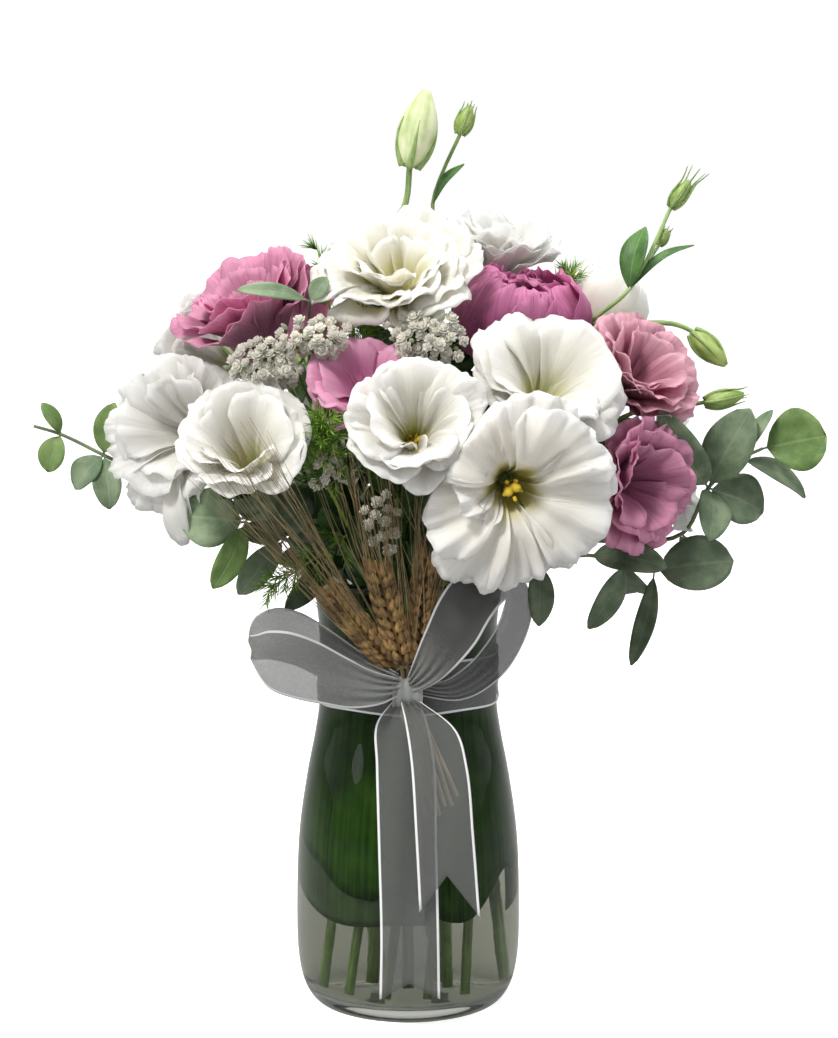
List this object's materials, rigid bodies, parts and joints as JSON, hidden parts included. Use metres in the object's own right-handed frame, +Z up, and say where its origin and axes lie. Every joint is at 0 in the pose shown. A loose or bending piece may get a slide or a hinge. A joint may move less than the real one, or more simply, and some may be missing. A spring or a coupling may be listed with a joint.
{
  "type": "lisianthus bouquet in a glass vase",
  "caption": "Round bouquet of double white and pink lisianthus with eucalyptus, baby's breath and wheat, in a leaf-lined glass vase tied with a sheer bow",
  "frame": {"origin": "centre of the vase's flat underside, on the surface it stands on", "axes": "+Z up along the vase's axis, -Y towards the front, where the bow is, +X to the right seen from the front"},
  "size_m": [0.3824, 0.2616, 0.448],
  "materials": {
    "glass": "clear blown glass, gloss",
    "water": "clear water, gloss",
    "white_petal": "soft satin petal, matte",
    "pink_petal": "soft satin petal, matte",
    "stem_green": "fresh green stem, satin",
    "anther_yellow": "pollen, matte",
    "liner_green": "broad dark leaf, satin",
    "eucalyptus_green": "waxy grey-green leaf, matte",
    "fern_green": "fine soft needles, matte",
    "baby_breath": "tiny double florets, matte",
    "straw": "dry wheat straw, matte",
    "organza": "sheer woven ribbon with satin edges"
  },
  "bodies": {
    "root": {"anthers_front_centre": "anther_yellow", "anthers_front_right": "anther_yellow", "bloom_back_pink_left": "pink_petal", "bloom_back_pink_right": "pink_petal", "bloom_back_white_left": "white_petal", "bloom_back_white_right": "white_petal", "bloom_back_white_top": "white_petal", "bloom_front_centre": "white_petal", "bloom_front_left": "white_petal", "bloom_front_right": "white_petal", "bloom_left": "white_petal", "bloom_left_rear": "white_petal", "bloom_pink_centre": "pink_petal", "bloom_pink_lower_right": "pink_petal", "bloom_pink_right": "pink_petal", "bloom_pink_top": "pink_petal", "bloom_pink_upper_left": "pink_petal", "bloom_rear_right": "white_petal", "bloom_right_rear": "white_petal", "bloom_top": "white_petal", "bloom_top_rear": "white_petal", "bloom_upper_right": "white_petal", "eucalyptus_back": "eucalyptus_green", "eucalyptus_left": "eucalyptus_green", "eucalyptus_lower_left": "eucalyptus_green", "eucalyptus_lower_right": "eucalyptus_green", "eucalyptus_right": "eucalyptus_green", "fern_back": "fern_green", "fern_centre": "fern_green", "fern_left": "fern_green", "fern_right": "fern_green", "gypsophila_centre": "baby_breath", "gypsophila_left": "baby_breath", "liner_leaf_back": "liner_green", "liner_leaf_front": "liner_green", "ribbon_band": "organza", "ribbon_bow": "organza", "stem_back_left": "stem_green", "stem_back_right": "stem_green", "stem_far_right": "stem_green", "stem_front_centre": "stem_green", "stem_front_left": "stem_green", "stem_front_right": "stem_green", "stem_left": "stem_green", "stem_rear_right": "stem_green", "stem_right": "stem_green", "stem_top": "stem_green", "stem_top_rear": "stem_green", "stem_upper_right": "stem_green", "vase": "glass", "water": "water", "wheat_left": "straw", "wheat_middle": "straw", "wheat_right": "straw"}
  },
  "joints": []
}
